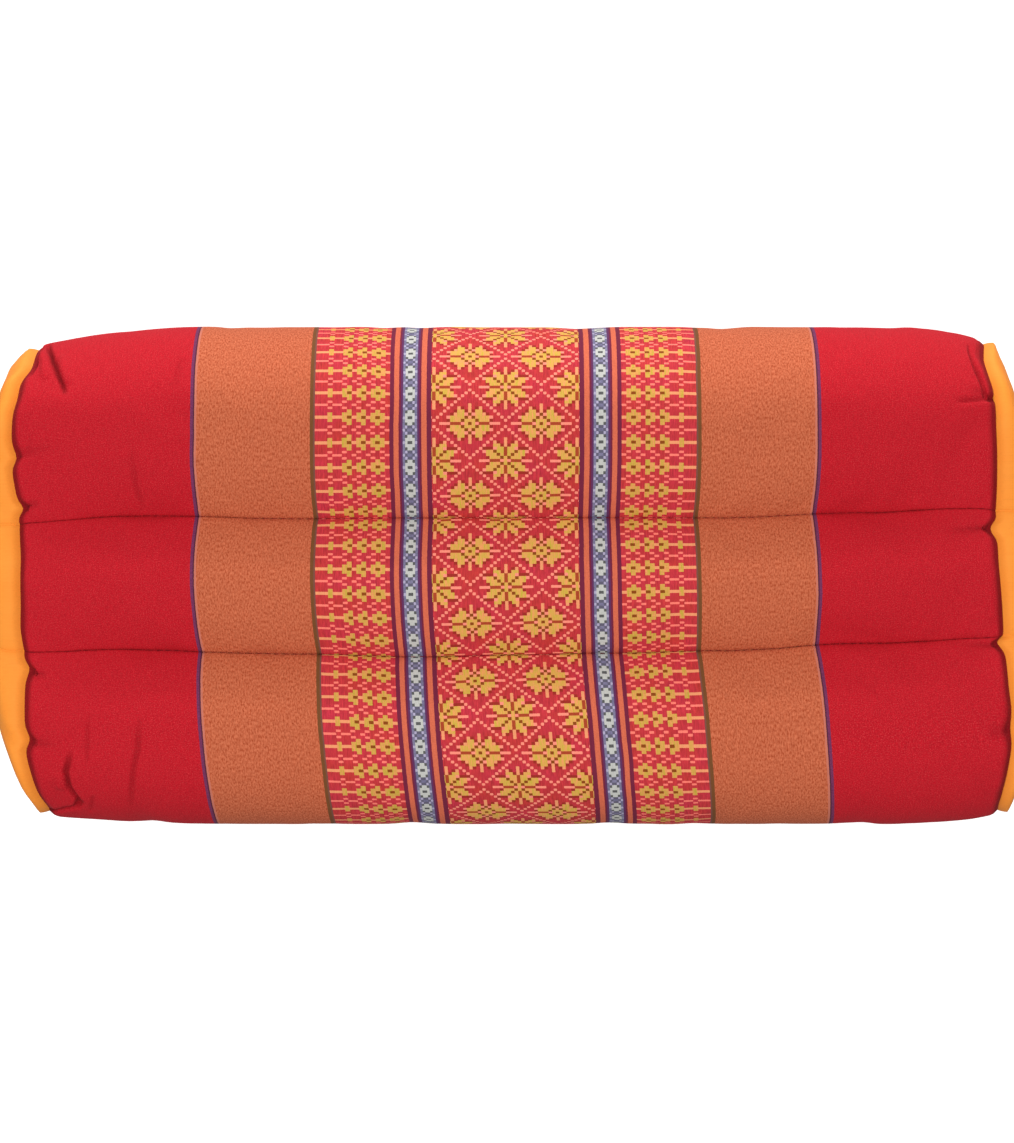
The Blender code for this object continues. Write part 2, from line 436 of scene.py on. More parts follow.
def wrap_rings():
    """Rings from one end to the other, each with its place along the cloth in cm.

    Past the crevice nothing shows, so there the places only keep the order of the rings.
    """
    reach = HALF_LENGTH - ROLL
    rings = []
    for end in (-1, 1):
        roll = []
        for step in range(1, ROLL_STEPS + 1):
            share = math.sin(math.pi / 2 * step / ROLL_STEPS)
            drop = ROLL_DROP * share ** ROLL_POWER
            points = ring(end * HALF_LENGTH, drop, 1.0, -ROLL * (1 - share))
            roll.append((end * (reach + math.hypot(ROLL * share, drop)) / CM, points))
        crevice = ring(end * HALF_LENGTH, CREVICE_INSET, 1.0, -CREVICE_DEPTH)
        roll.append((end * (HALF_LENGTH / CM + CREVICE_PLACE), crevice))
        for step in range(DOME_STEPS + 1):
            angle = math.acos(OPEN_AT) * step / DOME_STEPS
            points = dome_ring(end, CREVICE_INSET + PANEL_ROOM, -CREVICE_DEPTH, DOME - PANEL_ROOM, angle)
            roll.append((end * (HALF_LENGTH / CM + 1 + step), points))
        rings.append(roll)
    straight = []
    for step in range(RINGS + 1):
        share = 2 * step / RINGS - 1
        share += CROWD_ENDS * (share - share ** 3)
        straight.append((reach * share / CM, ring(reach * share)))
    return rings[0][::-1] + straight + rings[1]


rings_of_wrap = wrap_rings()
print("wrap:", len(rings_of_wrap), "rings, of which", RINGS + 1, "lie between the end seams")

# %% A net through the rings
SAME_POINT = 0.000001         # points that are closer than this are one


def into_mesh(work, mesh):
    """Ends the work on a bmesh by writing it into a mesh, which is shaded smooth."""
    work.to_mesh(mesh)
    work.free()
    mesh.shade_smooth()


def net(name, rows, columns):
    """A mesh through rows of points, made from a flat grid, closed where its points meet.

    rows holds (place along the cloth, points) and columns the places round it. Both go into
    a UV map named cloth, in centimetres.
    """
    across = len(columns) - 1
    work = bmesh.new()
    bmesh.ops.create_grid(work, x_segments=len(rows) - 1, y_segments=across, size=1.0)
    flat = work.loops.layers.uv.new("cloth")
    grid_place = {}
    for vert in work.verts:
        row = round((vert.co.x + 1) / 2 * (len(rows) - 1))
        column = round((vert.co.y + 1) / 2 * across)
        grid_place[vert] = (rows[row][0], columns[column])
        vert.co = rows[row][1][column % len(rows[row][1])]
    for face in work.faces:
        for loop in face.loops:
            loop[flat].uv = grid_place[loop.vert]
    bmesh.ops.remove_doubles(work, verts=work.verts, dist=SAME_POINT)
    bmesh.ops.recalc_face_normals(work, faces=work.faces)
    mesh = bpy.data.meshes.new(name)
    into_mesh(work, mesh)
    return added(name, mesh)


wrap = net("cushion_wrap", rings_of_wrap, around)
print("wrap:", len(wrap.data.vertices), "points,", len(wrap.data.polygons), "faces")

# %% [markdown]
# ## Stuffing it: a cloth simulation
#
# Kapok pushes the cloth out, and the cloth can't follow where it is sewn. It answers with
# small puckers beside the sewn lines and the end seams, which no formula gives as well as a
# simulation does. Blender's Cloth gets a little more cloth than the form needs, and air
# pressure inside. The form itself is already right, so only the fine wrinkles are kept: the
# movement less its own smooth part. A cap holds what is left to about a millimetre.

# %% Read and move the points of a mesh
def values_of(items, field, width=1, kind=np.float32):
    """One field of all the items of a mesh as an array, with a row for an item if it is wide."""
    found = np.zeros(width * len(items), kind)
    items.foreach_get(field, found)
    return found.reshape(-1, width) if width > 1 else found


def corner_points(mesh):
    """The number of the point at each corner of the faces."""
    return values_of(mesh.loops, "vertex_index", kind=np.int32)


def edge_ends(mesh):
    """The two points of every edge."""
    return values_of(mesh.edges, "vertices", 2, np.int32)


def places(mesh):
    """Every point's place on the flat cloth, in centimetres."""
    found = np.zeros((len(mesh.vertices), 2))
    found[corner_points(mesh)] = values_of(mesh.uv_layers["cloth"].uv, "vector", 2)
    return found


def points_of(mesh):
    """The points of a mesh as an array."""
    return values_of(mesh.vertices, "co", 3).astype(float)


def put_points(mesh, points):
    """Moves a mesh's points to the places in an array."""
    mesh.vertices.foreach_set("co", points.astype(np.float32).ravel())
    mesh.update()


def smoothed(mesh, values, passes):
    """Values at the points of a mesh, evened out along its edges."""
    ends = edge_ends(mesh)
    weight = np.bincount(ends.ravel(), minlength=len(values))[:, None]
    for _ in range(passes):
        total = np.zeros_like(values)
        np.add.at(total, ends[:, 0], values[ends[:, 1]])
        np.add.at(total, ends[:, 1], values[ends[:, 0]])
        values = (values + total / weight) / 2
    return values


flat_places = places(wrap.data)
print("along the cloth in cm:", flat_places[:, 0].min().round(1), "to", flat_places[:, 0].max().round(1))

# %% A cloth that air presses out
SPARE_CLOTH = 0.03            # share of cloth that there is more than the form needs
LAST_FRAME = 20
CLOTH = {
    "quality": 6,
    "mass": 0.1,
    "tension_stiffness": 20,
    "compression_stiffness": 20,
    "shear_stiffness": 6,
    "bending_stiffness": 0.05,
    "shrink_min": -SPARE_CLOTH,
    "use_pressure": True,
    "uniform_pressure_force": 4.0,
}


def stuffed(piece, held):
    """The places of a piece's points after the simulation, with the held points fixed."""
    trial = piece.copy()
    trial.data = piece.data.copy()
    bpy.context.scene.collection.objects.link(trial)
    group = trial.vertex_groups.new(name="held")
    group.add([int(index) for index in held], 1.0, "REPLACE")
    cloth = trial.modifiers.new("stuffing", "CLOTH")
    for name, setting in CLOTH.items():
        setattr(cloth.settings, name, setting)
    cloth.settings.vertex_group_mass = group.name
    cloth.settings.effector_weights.gravity = 0
    cloth.collision_settings.use_collision = False
    for moment in range(1, LAST_FRAME + 1):
        bpy.context.scene.frame_set(moment)
    done = trial.evaluated_get(bpy.context.evaluated_depsgraph_get()).to_mesh()
    moved = points_of(done)
    bpy.data.objects.remove(trial)
    bpy.context.scene.frame_set(1)
    return moved


print("cloth:", CLOTH)

# %% Points that the sewing and the floor hold
SAME_PLACE = 0.01             # cm on the cloth within which a point is on a line
SEAM_HOLD = 0.3               # cm from the start of the roll to the first held ring
FLOOR_TOUCH = 0.00001

held_columns = around[np.flatnonzero(section[:, 2] > ON_LINE)]
on_a_line = np.abs(flat_places[:, 1:2] % around[-1] - held_columns).min(axis=1) < SAME_PLACE
in_the_seam = np.abs(flat_places[:, 0]) > (HALF_LENGTH - ROLL) / CM + SEAM_HOLD
on_the_floor = points_of(wrap.data)[:, 2] < FLOOR_TOUCH
held = np.flatnonzero(on_a_line | in_the_seam | on_the_floor)
print("held points:", len(held), "lines at", held_columns.round(2), "cm round")

# %% Keep the fine wrinkles
SMOOTH_PASSES = 40
WRINKLE_GAIN = 0.4
WRINKLE_CAP = 0.0012

at_rest = points_of(wrap.data)
movement = stuffed(wrap, held) - at_rest
print("movement in mm, most and mean:", in_mm((np.abs(movement).max(), np.abs(movement).mean())))
fine = movement - smoothed(wrap.data, movement, SMOOTH_PASSES)
fine[held] = 0
fine = smoothed(wrap.data, fine, 1) * WRINKLE_GAIN
length = np.maximum(np.linalg.norm(fine, axis=1, keepdims=True), 1e-9)
fine *= np.minimum(1, WRINKLE_CAP / length)
put_points(wrap.data, at_rest + fine)
print("wrinkles in mm, most and mean:", in_mm((np.abs(fine).max(), np.abs(fine).mean())))

# %% [markdown]
# ## A finer net, sharp at the sewn lines
#
# Subdivision rounds the net into a smooth surface, four faces for each one. The edges on the
# sewn lines are marked as creases first, because a sewn line is the one place where cloth
# bends sharply. The result is made the piece's own mesh, so that creases can be pressed
# into its finer points. A point where all columns met would make that slow, so the hidden
# middle of each end stays open until now, and one flat face closes it.

# %% Subdivide the wrap
SEWN_SHARPNESS = 0.9


def finer(piece, sharp_points):
    """Subdivides a piece's mesh for good, with the edges between sharp points kept sharp."""
    ends = edge_ends(piece.data)
    sharp = sharp_points[ends[:, 0]] & sharp_points[ends[:, 1]]
    marks = piece.data.attributes.new("crease_edge", "FLOAT", "EDGE")
    marks.data.foreach_set("value", (SEWN_SHARPNESS * sharp).astype(np.float32))
    rounding = piece.modifiers.new("finer", "SUBSURF")
    rounding.levels = 1
    rounding.render_levels = 1
    ready = piece.evaluated_get(bpy.context.evaluated_depsgraph_get())
    made = bpy.data.meshes.new_from_object(ready)
    piece.modifiers.clear()
    piece.data = made
    piece.data.name = piece.name


def close_ends(mesh):
    """Fills the openings that are left in a mesh, with the places of the points around them."""
    work = bmesh.new()
    work.from_mesh(mesh)
    flat = work.loops.layers.uv["cloth"]
    rims = [edge for edge in work.edges if edge.is_boundary]
    for face in bmesh.ops.holes_fill(work, edges=rims)["faces"]:
        for loop in face.loops:
            beside = next(other for other in loop.vert.link_loops if other.face != face)
            loop[flat].uv = beside[flat].uv
    bmesh.ops.recalc_face_normals(work, faces=work.faces)
    into_mesh(work, mesh)


finer(wrap, on_a_line & (np.abs(flat_places[:, 0]) < HALF_LENGTH / CM))
close_ends(wrap.data)
flat_places = places(wrap.data)
print("wrap:", len(wrap.data.vertices), "points,", 2 * len(wrap.data.polygons), "triangles")

# %% [markdown]
# ## Creases pressed in one by one
#
# A few folds are there on any handled cushion: a pleat where a corner was gathered into its
# seam, a tuck beside the end, and a short dent at each tack. They could be sculpted by hand,
# but a line with a depth and a width can be measured and moved. So each is a line on the
# cloth, and the points near it move along their normals. The places of the larger ones are
# seen from the camera, so a ray finds them on the wrap. How deep a point went is kept as an
# attribute, from which shade is painted into the colour later, because in a sharp fold a
# cloth is darker than a net of points can show.

# %% A crease is a line on the flat cloth
PAST_THE_EDGE = CROWN + MID_HEIGHT / 2   # height of a place that the camera sees past the wrap
NEVER_ZERO = 0.00001
wrap_tree = BVHTree.FromPolygons(
    [point.co for point in wrap.data.vertices], [face.vertices for face in wrap.data.polygons]
)


def seen_on_cloth(x, y):
    """The place on the flat cloth that the camera sees at (x, y) cm of the crowns' plane."""
    aim = Vector((x * CM, y * CM, body_high.z)) - CAMERA_PLACE
    spot, _, index, _ = wrap_tree.ray_cast(CAMERA_PLACE, aim.normalized())
    if index is None:
        spot, _, index, _ = wrap_tree.find_nearest(Vector((x * CM, y * CM, PAST_THE_EDGE)))
    corners = list(wrap.data.polygons[index].vertices)
    away = [(wrap.data.vertices[corner].co - spot).length + NEVER_ZERO for corner in corners]
    share = 1 / np.array(away)
    return tuple((flat_places[corners] * share[:, None]).sum(axis=0) / share.sum())


def from_line(spots, line):
    """How far spots are from a line of places in cm, and how far along it, from 0 to 1."""
    nearest = np.full(len(spots), 1e9)
    along = np.zeros(len(spots))
    for number, (first, last) in enumerate(zip(line, line[1:])):
        first, last = np.array(first), np.array(last)
        step = last - first
        share = np.clip(((spots - first) @ step) / (step @ step), 0, 1)
        away = np.linalg.norm(spots - first - share[:, None] * step, axis=1)
        closer = away < nearest
        nearest[closer] = away[closer]
        along[closer] = (number + share[closer]) / (len(line) - 1)
    return nearest, along


def finer_near(mesh, spots, lines, reach):
    """Splits the faces within some cm of the lines into four."""
    near = np.min([from_line(spots, line)[0] for line in lines], axis=0) < reach
    work = bmesh.new()
    work.from_mesh(mesh)
    edges = [edge for edge in work.edges if near[edge.verts[0].index] and near[edge.verts[1].index]]
    bmesh.ops.subdivide_edges(work, edges=edges, cuts=1, use_grid_fill=True)
    into_mesh(work, mesh)


def press(mesh, spots, line, half_width, depth, from_start=False):
    """Presses a crease into a mesh, along a line of places in cm; widths and depths are in mm.

    With from_start it is deepest at its first place, and otherwise in its middle.
    """
    nearest, along = from_line(spots, line)
    fade = 1 - along ** 2 if from_start else 1 - (2 * along - 1) ** 4
    amount = depth / 1000 * fade * np.exp(-((nearest * 10 / half_width) ** 2))
    points = points_of(mesh) - amount[:, None] * values_of(mesh.vertex_normals, "vector", 3)
    points[:, 2] = np.maximum(points[:, 2], 0)
    put_points(mesh, points)
    folded = mesh.attributes.get("folded") or mesh.attributes.new("folded", "FLOAT", "POINT")
    deepest = np.maximum(values_of(folded.data, "value"), 1000 * amount)
    folded.data.foreach_set("value", deepest.astype(np.float32))


print("middle of the picture on the cloth, in cm:", np.round(seen_on_cloth(0.0, 0.0), 1))

# %% Press the creases
# (x, y) in cm as the camera sees them, half width and depth in mm; a puff has a negative depth
CREASES = {
    "corner pleat": (
        ((-16.85, 8.45), (-16.41, 8.06), (-16.27, 7.72), (-16.12, 7.35), (-15.94, 6.88), (-15.84, 6.4)),
        0.9, 2.6
    ),
    "flap beside it": (((-16.7, 8.0), (-16.55, 7.5), (-16.45, 7.0)), 1.6, -1.2),
    "ridge past it": (((-15.95, 7.9), (-15.85, 7.4), (-15.65, 6.8)), 1.6, -0.8),
    "corner fold": (((-16.6, 8.2), (-16.8, 7.6), (-17.1, 7.1)), 0.9, 1.6),
    "right tuck": (((16.6, 8.28), (16.85, 7.42), (17.15, 6.6), (17.3, 6.2)), 0.9, 1.6),
    "right fold": (((17.5, 6.38), (16.9, 6.28), (16.11, 6.21)), 0.9, 1.0),
    "lower curl": (
        ((-15.6, -6.3), (-15.79, -7.06), (-15.68, -7.63), (-15.37, -8.05), (-15.4, -8.35)), 0.9, 2.2
    ),
    "curl's hook": (((-15.2, -8.1), (-15.42, -8.32), (-15.79, -8.39), (-16.4, -8.53)), 0.9, 1.8),
    "curl's puff": (((-16.05, -7.1), (-16.0, -7.7)), 2.0, -0.9),
    "lower short": (((-14.8, -7.9), (-14.94, -8.5)), 0.7, 0.7),
    "lower faint": (((-14.98, -5.1), (-15.09, -6.8)), 0.8, 0.6),
    "lower long": (((-13.1, -5.2), (-13.25, -6.3), (-13.39, -7.06), (-13.43, -8.4)), 0.9, 1.1),
    "upper faint": (((-11.6, 7.8), (-11.93, 6.6)), 1.0, 0.5),
    "middle faint": (((-13.42, 4.6), (-13.25, 3.0), (-12.96, 2.3)), 0.9, 0.7),
}
FINER_REACH = 0.35            # cm from a crease in which the net is made finer

lines = [([seen_on_cloth(*spot) for spot in spots], *sizes) for spots, *sizes in CREASES.values()]
finer_near(wrap.data, flat_places, [line for line, *_ in lines], FINER_REACH)
flat_places = places(wrap.data)
for line, half_width, depth in lines:
    press(wrap.data, flat_places, line, half_width, depth)
print("creases:", len(lines), "on", len(wrap.data.polygons), "faces")

# %% Press a dent at each tack
DENT_START = 0.3              # share of the roll from the seam to the dent
DENT_REACH = (0.7, 1.7)       # it runs this far into the cloth, in cm
DENT_LEAN = 0.35              # and up to this far to a side
DENT_HALF_WIDTH = 1.3         # mm
DENT_DEPTH = (0.7, 1.5)

dent_draws = np.random.default_rng(23)
seam_place = (HALF_LENGTH - DENT_START * ROLL) / CM
for end, found in tacks.items():
    for place, _, _ in found:
        inner = seam_place - dent_draws.uniform(*DENT_REACH)
        lean = dent_draws.uniform(-DENT_LEAN, DENT_LEAN)
        line = [(end * seam_place, place), (end * inner, place + lean)]
        depth = dent_draws.uniform(*DENT_DEPTH)
        press(wrap.data, flat_places, line, DENT_HALF_WIDTH, depth, from_start=True)
print("dents at the tacks:", sum(len(found) for found in tacks.values()))

# %% [markdown]
# ## The end panels
#
# Each end is closed by one piece of plain cloth that the filling pushes into a dome. Its edge
# is turned in behind the roll of the wrap and sewn there, so it is made as a sheet whose first
# row of points stands inside the crevice, and whose rim rises out of it beside the wrap's own.
# Solidify gives it the thickness of a folded hem and of the cloth behind it. The wrap's own
# net could have been dyed orange there, but a seam between two pieces shows both edges.

# %% Rings of an end panel
PANEL_STEPS = 16
RIM_STEPS = 5
RIM_START = 0.0042            # the panel comes out of the crevice this far under the wrap
RIM_TOP = 0.0024              # and rises to this far under it
RIM_REACH = 0.0036            # and this far out past the seam
TUCKED = 0.0014               # its edge stands this deep in the crevice


def panel_rows(end):
    """Rings of an end panel: its tucked edge, its rim out of the crevice and its dome."""
    rows = [(0.0, ring(end * HALF_LENGTH, RIM_START + TUCKED / 2, 1.0, -TUCKED))]
    for step in range(RIM_STEPS):
        share = step / RIM_STEPS
        inset = RIM_START + (RIM_TOP - RIM_START) * math.sin(math.pi / 2 * share)
        rows.append((step + 1.0, ring(end * HALF_LENGTH, inset, 1.0, RIM_REACH * share)))
    for step in range(PANEL_STEPS + 1):
        points = dome_ring(end, RIM_TOP, RIM_REACH, DOME, math.pi / 2 * step / PANEL_STEPS)
        rows.append((RIM_STEPS + step + 1.0, points))
    return rows


def set_places(mesh, flat):
    """Writes a place in cm for every point into the UV map named cloth."""
    flat_corners = flat[corner_points(mesh)]
    mesh.uv_layers["cloth"].uv.foreach_set("vector", flat_corners.astype(np.float32).ravel())


print("rings of a panel:", 1 + RIM_STEPS + PANEL_STEPS + 1)

# %% Two domed sheets
PANEL_THICKNESS = 0.0012
# A tack dents the panel too: share of its pull, half width in mm, share of the way to the middle
PANEL_PULL = 0.1
PANEL_DENT_WIDTH = 3.0
PANEL_DENT_REACH = (0.10, 0.25)

end_cloths = []
for end, side in ((-1, "left"), (1, "right")):
    panel = net("end_cloth_" + side, panel_rows(end), around)
    spots = points_of(panel.data)[:, 1:] / CM
    set_places(panel.data, spots)
    middle = np.array([0.0, MID_HEIGHT / CM])
    rim_points = np.array(ring(end * HALF_LENGTH, RIM_TOP, 1.0, RIM_REACH))[:, 1:] / CM
    for place, pull, _ in tacks[end]:
        rim = rim_points[int(np.abs(around - place).argmin()) % len(section)]
        inner = rim + (middle - rim) * dent_draws.uniform(*PANEL_DENT_REACH)
        depth = 1000 * PANEL_PULL * pull
        press(panel.data, spots, [tuple(rim), tuple(inner)], PANEL_DENT_WIDTH, depth, from_start=True)
    wall = panel.modifiers.new("thickness", "SOLIDIFY")
    wall.thickness = PANEL_THICKNESS
    wall.offset = -1
    end_cloths.append(panel)
    print(panel.name + ":", len(panel.data.polygons), "faces")

# %% [markdown]
# ## The sewing thread
#
# The channels are closed by a running stitch, 3.3 mm from one to the next. Only its short
# floats show, deep in each sewn line. A curve would give a cord that runs on and on, and the
# pauses between the floats are what makes it sewing. One small ellipsoid of a few faces is
# enough for a stitch, and all of them are joined into one mesh.

# %% One stitch and its places
STITCH_PITCH = 0.33           # cm
STITCH_SIZE = (0.00115, 0.00028, 0.00022)   # half its length, width and height
STITCH_RISE = 0.0001
STITCHED = 17.4               # cm from the middle to the last stitch
BESIDE = 0.06                 # cm along the line to where its direction is measured
BROAD_FACE = 0.06             # the broad faces reach this far across


def column_points(place):
    """The wrap's points on one line along the cushion, by their place along the cloth."""
    on_it = np.flatnonzero((np.abs(flat_places[:, 1] % around[-1] - place) < SAME_PLACE))
    on_it = on_it[np.argsort(flat_places[on_it, 0])]
    return flat_places[on_it, 0], points_of(wrap.data)[on_it]


def one_stitch():
    """The shape of a stitch, lying along X."""
    work = bmesh.new()
    size = Matrix.Diagonal((*STITCH_SIZE, 1))
    bmesh.ops.create_uvsphere(work, u_segments=6, v_segments=4, radius=1, matrix=size)
    shape = bpy.data.meshes.new("stitch")
    into_mesh(work, shape)
    return shape


def stitch_places(line):
    """Where each stitch of a sewn line goes: a turn and a move for each."""
    along, points = column_points(line)
    top_side = 1 if line < around[-1] / 2 else -1
    found = []
    for spot in np.arange(-STITCHED, STITCHED, STITCH_PITCH):
        here, before, after = (
            Vector([np.interp(spot + step, along, points[:, axis]) for axis in range(3)])
            for step in (0, -BESIDE, BESIDE)
        )
        out = Vector((0, 0, top_side))
        if abs(here.y) > BROAD_FACE:
            out = Vector((0, math.copysign(1, here.y), 0))
        turn = (after - before).to_track_quat("X", "Z").to_matrix().to_4x4()
        found.append(Matrix.Translation(here + STITCH_RISE * out) @ turn)
    return found


print("stitches on a line:", len(stitch_places(held_columns[0])))


# %% All stitches as one mesh
def stitches(name):
    """All the stitches of the cushion as one mesh."""
    shape = one_stitch()
    work = bmesh.new()
    for line in held_columns:
        for placed in stitch_places(line):
            copy = shape.copy()
            copy.transform(placed)
            work.from_mesh(copy)
            bpy.data.meshes.remove(copy)
    bpy.data.meshes.remove(shape)
    mesh = bpy.data.meshes.new(name)
    into_mesh(work, mesh)
    return added(name, mesh)


thread = stitches("sewing_thread")
print("sewing thread:", len(thread.data.polygons), "faces")

# %% [markdown]
# ## Writing a material as sums
#
# A woven band is simple arithmetic on the cloth's own places, but as nodes it is a maze. So
# one small class stands for the output of a node. A sum, a product or a comparison on it adds
# a Math node, and every other node comes from its one method, node.

# %% A socket that can be calculated with
class Shade:
    """The output of a node. Arithmetic on it adds Math nodes to the same material."""

    def __init__(self, tree, socket):
        self.tree = tree
        self.socket = socket

    def node(self, kind, settings, values, output=0):
        """Adds a node: its settings first, then numbers, colours or other Shades on its inputs."""
        fresh = self.tree.nodes.new(kind)
        for name, setting in settings.items():
            if name == "stops":
                set_stops(fresh.color_ramp, *setting)
            else:
                setattr(fresh, name, setting)
        for place, value in values.items():
            if isinstance(value, Shade):
                self.tree.links.new(value.socket, fresh.inputs[place])
            else:
                fresh.inputs[place].default_value = value
        return Shade(self.tree, fresh.outputs[output])

    def math(self, operation, first, second=0.0):
        """Adds a Math node."""
        return self.node("ShaderNodeMath", {"operation": operation}, {0: first, 1: second})

    def __add__(self, other):
        return self.math("ADD", self, other)

    def __radd__(self, other):
        return self.math("ADD", other, self)

    def __sub__(self, other):
        return self.math("SUBTRACT", self, other)

    def __rsub__(self, other):
        return self.math("SUBTRACT", other, self)

    def __mul__(self, other):
        return self.math("MULTIPLY", self, other)

    def __rmul__(self, other):
        return self.math("MULTIPLY", other, self)

    def __truediv__(self, other):
        return self.math("DIVIDE", self, other)

    def __rtruediv__(self, other):
        return self.math("DIVIDE", other, self)

    def __mod__(self, other):
        return self.math("FLOORED_MODULO", self, other)

    def __pow__(self, other):
        return self.math("POWER", self, other)

    def __rpow__(self, other):
        return self.math("POWER", other, self)

    def __gt__(self, other):
        return self.math("GREATER_THAN", self, other)

    def __lt__(self, other):
        return self.math("LESS_THAN", self, other)

    def __abs__(self):
        return self.math("ABSOLUTE", self)

    def whole(self):
        """The whole number at or under it."""
        return self.math("FLOOR", self)

    def wave(self, length):
        """A wave from -1 to 1 with a crest at every whole number of lengths."""
        return self.math("COSINE", self * (2 * math.pi / length))

    def fold(self, crest):
        """Counts up to the crest and down again, over and over."""
        return crest - abs(crest - self % (2 * crest))

    def mix(self, first, second):
        """Two colours mixed by this share."""
        return self.node("ShaderNodeMix", {"data_type": "RGBA"}, {0: self, 6: first, 7: second}, output=2)

    def parts(self):
        """The three numbers in a colour or a place."""
        split = self.node("ShaderNodeSeparateXYZ", {}, {0: self})
        outputs = split.socket.node.outputs
        return [Shade(self.tree, outputs[number]) for number in range(3)]

    def into(self, shader, place):
        """Links it to an input of a material's shader."""
        self.tree.links.new(self.socket, shader.inputs[place])


def set_stops(ramp, interpolation, stops):
    """Gives a ramp its stops, as (position, colour)."""
    ramp.interpolation = interpolation
    while len(ramp.elements) > 1:
        ramp.elements.remove(ramp.elements[0])
    ramp.elements[0].position = stops[0][0]
    ramp.elements[0].color = stops[0][1]
    for position, colour in stops[1:]:
        ramp.elements.new(position).color = colour


print("a Shade can do:", [name for name in vars(Shade) if not name.startswith("_")])


# %% Colours and new materials
def dye(red, green, blue):
    """A colour as it is seen on a screen, 0 to 255, turned into the light it gives back."""
    seen = np.array([red, green, blue]) / 255
    light = np.where(seen < 0.04045, seen / 12.92, ((seen + 0.055) / 1.055) ** 2.4)
    return (*light.tolist(), 1.0)


def new_material(name, values):
    """A material and its shader, with a number or a colour on some of the shader's inputs."""
    made = bpy.data.materials.new(name)
    made.use_nodes = True
    shader = made.node_tree.nodes["Principled BSDF"]
    for place, value in values.items():
        shader.inputs[place].default_value = value
    return made, shader


COTTON = {"Specular IOR Level": 0.12, "Sheen Weight": 0.01, "Sheen Roughness": 0.5}


def cloth_material(name, roughness):
    """A material, with the places on its flat cloth in cm as two Shades."""
    made, shader = new_material(name, COTTON | {"Roughness": roughness})
    spot = Shade(made.node_tree, None).node("ShaderNodeUVMap", {"uv_map": "cloth"}, {})
    along, across, _ = spot.parts()
    return made, shader, along, across


def relief(height, strength, depth):
    """A bump that gives the light a relief too fine for the net of points."""
    return height.node("ShaderNodeBump", {}, {"Strength": strength, "Distance": depth, "Height": height})


print("the colour of plain red cloth as light:", [round(part, 3) for part in dye(192, 32, 43)])

# %% [markdown]
# ## Yarn
#
# Up close no dyed yarn has one colour. It is spun unevenly, it takes the dye unevenly, and
# each float of it catches the light on its back. Noise that is stretched along the yarn
# shows all of this. Warp yarn runs round the cushion and weft yarn along it.

# %% Uneven yarn
NOISE_GAIN = 2.2              # stretches noise, which stays near 0.5, over the whole of 0 to 1


def streaks(along, across, per_cm_along, per_cm_across, seed, detail=2.0):
    """Noise from 0 to 1, with so many streaks to a centimetre in the two directions."""
    place = {0: along * per_cm_along, 1: across * per_cm_across, 2: seed}
    place = along.node("ShaderNodeCombineXYZ", {}, place)
    values = {"Vector": place, "Scale": 1.0, "Detail": detail, "Roughness": 0.6}
    return along.node("ShaderNodeTexNoise", {"noise_dimensions": "3D"}, values)


def spread(noise, low, high):
    """Turns noise about 0.5 into numbers about the middle of low and high, most of them between."""
    start = (low + high) / 2 - NOISE_GAIN / 2 * (high - low)
    return noise * (NOISE_GAIN * (high - low)) + start


def lit(colour, brightness):
    """A colour made brighter or darker by a number that varies."""
    settings = {"data_type": "RGBA", "blend_type": "MULTIPLY"}
    return brightness.node("ShaderNodeMix", settings, {0: 1.0, 6: colour, 7: brightness}, output=2)


print("a spread is filled by noise within", round(0.5 / NOISE_GAIN, 2), "of 0.5")

# %% [markdown]
# ## The charts of the woven motifs
#
# The stars, the small flowers and the lattice are a traditional repeat, so they are charted
# the way a weaver charts them: one letter for a cell, one line for a row of the weft. The
# stars are the same all round, so a quarter is enough, and folding the count of rows and
# columns makes the rest.
#
# An image could hold them too, but it blurs when the camera comes near, and it can't be
# read. A material has no tables, though. But a ramp without blending is a list of rows, and
# the cells of a row can be kept as the bits of one number. Three numbers, the red, green and
# blue of a stop, give eight kinds of cell.

# %% Charts
# . ground, L dot of the lattice, S salmon bar, R red-brown bar, Y yellow, D dark dot,
# k dark ground, V upright bar
CELLS = ".LSRYDkV"
STAR_CHART = (
    "..SSSRRRSYD",
    "L...kYYYDYY",
    ".L..SYYYYDV",
    "..L..kVYYSD",
    "...L..kYYkV",
    "V...L..Vk.V",
    "V.kV.L....V",
    "VkYY..L....",
    "RYYSkkkL...",
    "RYYDYYS.L..",
    "RYDYYY...L.",
    "YDYYYk....L",
    "YSRRRSSS...",
)
FLOWER_CHART = (
    "RYDYRDYRDYRRYRRR",
    ".YYY.YY.YY..Y...",
    "..Y..Y..Y.......",
    ".S.S..S..S..S...",
    "S...S..S..SS.SSS",
)
# In the blue band: D slate, k a lighter one, Y white, L lilac. Its middle lies between two columns
BLUE_CHART = (
    "DYL",
    "YY.",
    "YD.",
    "kL.",
    ".kL",
)
print("charts:", len(STAR_CHART), "star rows,", len(FLOWER_CHART), "flower rows")


# %% Look up a cell of a chart
def from_list(number, choices):
    """The choice with this number, in a ramp without blending that has a stop for each."""
    stops = [(place / len(choices), tuple(choice)) for place, choice in enumerate(choices)]
    values = {0: (number + 0.5) / len(choices)}
    return number.node("ShaderNodeValToRGB", {"stops": ("CONSTANT", stops)}, values)


def packed_row(line):
    """The cells of a row as three numbers under 1, one for each bit of the kinds of cell."""
    kinds = [CELLS.index(cell) for cell in line]
    bits = [sum((kind >> bit & 1) << place for place, kind in enumerate(kinds)) for bit in range(3)]
    return [number / 2 ** len(line) for number in bits]


